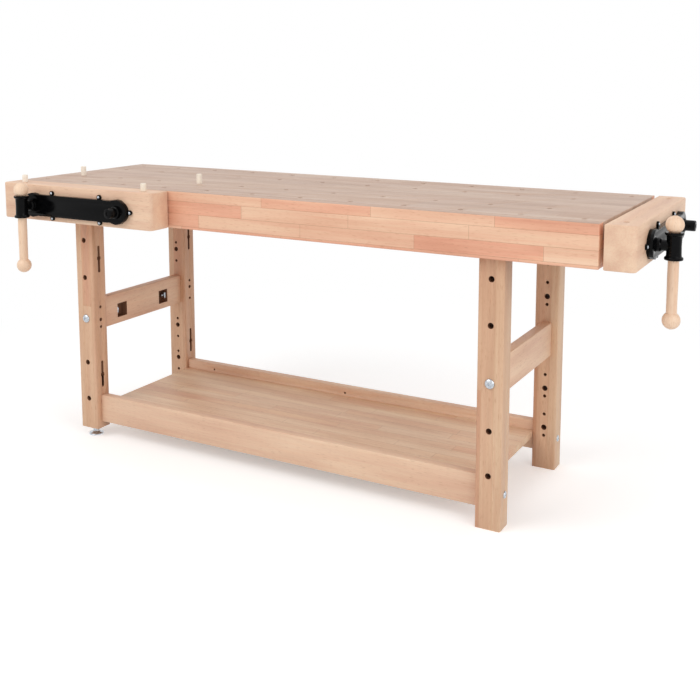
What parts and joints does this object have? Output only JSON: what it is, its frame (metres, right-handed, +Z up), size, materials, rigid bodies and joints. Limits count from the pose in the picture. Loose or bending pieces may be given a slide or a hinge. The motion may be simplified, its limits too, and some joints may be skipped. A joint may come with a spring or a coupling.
{
  "type": "woodworking bench with vises",
  "caption": "Woodworking bench with a glued beech top drilled for dogs, bolted drilled legs, a low shelf, and a front and an end vise driven by chained screws with T handles.",
  "frame": {"origin": "centre of the object's footprint, on the floor", "axes": "+X along the bench to the end vise, +Y from the front vise to the back, +Z up"},
  "size_m": [2.133, 0.7796, 0.902],
  "materials": {
    "beech_top": "oiled glued beech strips",
    "beech_frame": "oiled beech",
    "beech_handle": "turned oiled beech",
    "pale_dowel": "turned pale beech",
    "black_enamel": "gloss black enamel",
    "zinc": "bright zinc plate",
    "screw_steel": "oiled machined steel"
  },
  "bodies": {
    "bench": {"top_slab": "beech_top", "front_apron": "beech_top", "rear_apron": "beech_top", "left_end_apron": "beech_top", "right_end_apron": "beech_top", "left_stretcher": "beech_frame", "right_stretcher": "beech_frame", "left_top_bearer": "beech_frame", "right_top_bearer": "beech_frame", "front_shelf_rail": "beech_frame", "rear_shelf_rail": "beech_frame", "shelf_panel": "beech_top", "front_shelf_cleat": "beech_frame", "rear_shelf_cleat": "beech_frame", "left_front_leg": "beech_frame", "left_front_stretcher_bolt": "zinc", "left_front_stretcher_nut": "zinc", "left_front_rail_bolt": "zinc", "left_rear_leg": "beech_frame", "left_rear_stretcher_bolt": "zinc", "left_rear_stretcher_nut": "zinc", "left_rear_rail_bolt": "zinc", "right_front_leg": "beech_frame", "right_front_stretcher_bolt": "zinc", "right_front_stretcher_nut": "zinc", "right_front_rail_bolt": "zinc", "right_rear_leg": "beech_frame", "right_rear_stretcher_bolt": "zinc", "right_rear_stretcher_nut": "zinc", "right_rear_rail_bolt": "zinc", "front_vise_drive_nut": "screw_steel", "front_vise_idler_nut": "screw_steel", "end_vise_drive_nut": "screw_steel", "end_vise_idler_nut": "screw_steel"},
    "front_vise_jaw_body": {"front_vise_jaw": "beech_frame", "front_vise_chain_cover": "black_enamel", "front_vise_chain": "screw_steel"},
    "front_vise_drive": {"front_vise_drive_screw": "screw_steel", "front_vise_tee_hub": "black_enamel"},
    "front_vise_idler": {"front_vise_idler_screw": "screw_steel", "front_vise_stub_hub": "black_enamel"},
    "front_vise_handle_body": {"front_vise_handle": "beech_handle", "front_vise_handle_ball": "beech_handle"},
    "end_vise_jaw_body": {"end_vise_jaw": "beech_frame", "end_vise_chain_cover": "black_enamel", "end_vise_chain": "screw_steel"},
    "end_vise_drive": {"end_vise_drive_screw": "screw_steel", "end_vise_tee_hub": "black_enamel"},
    "end_vise_idler": {"end_vise_idler_screw": "screw_steel", "end_vise_stub_hub": "black_enamel"},
    "end_vise_handle_body": {"end_vise_handle": "beech_handle", "end_vise_handle_ball": "beech_handle"},
    "top_dog_1_body": {"top_dog_1": "pale_dowel"},
    "top_dog_2_body": {"top_dog_2": "pale_dowel"},
    "front_jaw_dog_1_body": {"front_jaw_dog_1": "pale_dowel"},
    "front_jaw_dog_2_body": {"front_jaw_dog_2": "pale_dowel"},
    "left_front_levelling_foot_body": {"left_front_levelling_foot": "zinc"},
    "left_rear_levelling_foot_body": {"left_rear_levelling_foot": "zinc"}
  },
  "joints": [
    {"name": "front_vise_jaw_slide", "type": "slide", "parent": "bench", "child": "front_vise_jaw_body", "axis": [0, -1, 0], "range_m": [-0.0031, 0.1801]},
    {"name": "front_vise_screw_turn", "type": "hinge", "parent": "front_vise_jaw_body", "child": "front_vise_drive", "pos_m": [-0.92, -0.30625, 0.806], "axis": [0, -1, 0], "range_deg": [-180, 10800]},
    {"name": "front_vise_second_screw_turn", "type": "hinge", "parent": "front_vise_jaw_body", "child": "front_vise_idler", "pos_m": [-0.57, -0.30625, 0.806], "axis": [0, -1, 0], "range_deg": [-180, 10800]},
    {"name": "front_vise_handle_slide", "type": "slide", "parent": "front_vise_drive", "child": "front_vise_handle_body", "axis": [0, 0, 1], "range_m": [0, 0.1355]},
    {"name": "end_vise_jaw_slide", "type": "slide", "parent": "bench", "child": "end_vise_jaw_body", "axis": [1, 0, 0], "range_m": [-0.0121, 0.1501]},
    {"name": "end_vise_screw_turn", "type": "hinge", "parent": "end_vise_jaw_body", "child": "end_vise_drive", "pos_m": [0.983, -0.08225, 0.806], "axis": [1, 0, 0], "range_deg": [-720, 9000]},
    {"name": "end_vise_second_screw_turn", "type": "hinge", "parent": "end_vise_jaw_body", "child": "end_vise_idler", "pos_m": [0.983, 0.26775, 0.806], "axis": [1, 0, 0], "range_deg": [-720, 9000]},
    {"name": "end_vise_handle_slide", "type": "slide", "parent": "end_vise_drive", "child": "end_vise_handle_body", "axis": [0, 0, 1], "range_m": [0, 0.1355]},
    {"name": "top_dog_1_lift", "type": "slide", "parent": "bench", "child": "top_dog_1_body", "axis": [0, 0, 1], "range_m": [0, 0.044]},
    {"name": "top_dog_2_lift", "type": "slide", "parent": "bench", "child": "top_dog_2_body", "axis": [0, 0, 1], "range_m": [0, 0.044]},
    {"name": "front_jaw_dog_1_lift", "type": "slide", "parent": "front_vise_jaw_body", "child": "front_jaw_dog_1_body", "axis": [0, 0, 1], "range_m": [0, 0.044]},
    {"name": "front_jaw_dog_2_lift", "type": "slide", "parent": "front_vise_jaw_body", "child": "front_jaw_dog_2_body", "axis": [0, 0, 1], "range_m": [0, 0.044]},
    {"name": "left_front_levelling_foot_screw_out", "type": "slide", "parent": "bench", "child": "left_front_levelling_foot_body", "axis": [0, 0, -1], "range_m": [0, 0.02]},
    {"name": "left_rear_levelling_foot_screw_out", "type": "slide", "parent": "bench", "child": "left_rear_levelling_foot_body", "axis": [0, 0, -1], "range_m": [0, 0.02]}
  ],
  "couplings": [
    {"joint": "front_vise_jaw_slide", "follows": "front_vise_screw_turn", "m_per_rad": 0.00095493},
    {"joint": "front_vise_second_screw_turn", "follows": "front_vise_screw_turn", "ratio": 1},
    {"joint": "end_vise_jaw_slide", "follows": "end_vise_screw_turn", "m_per_rad": 0.00095493},
    {"joint": "end_vise_second_screw_turn", "follows": "end_vise_screw_turn", "ratio": 1}
  ]
}
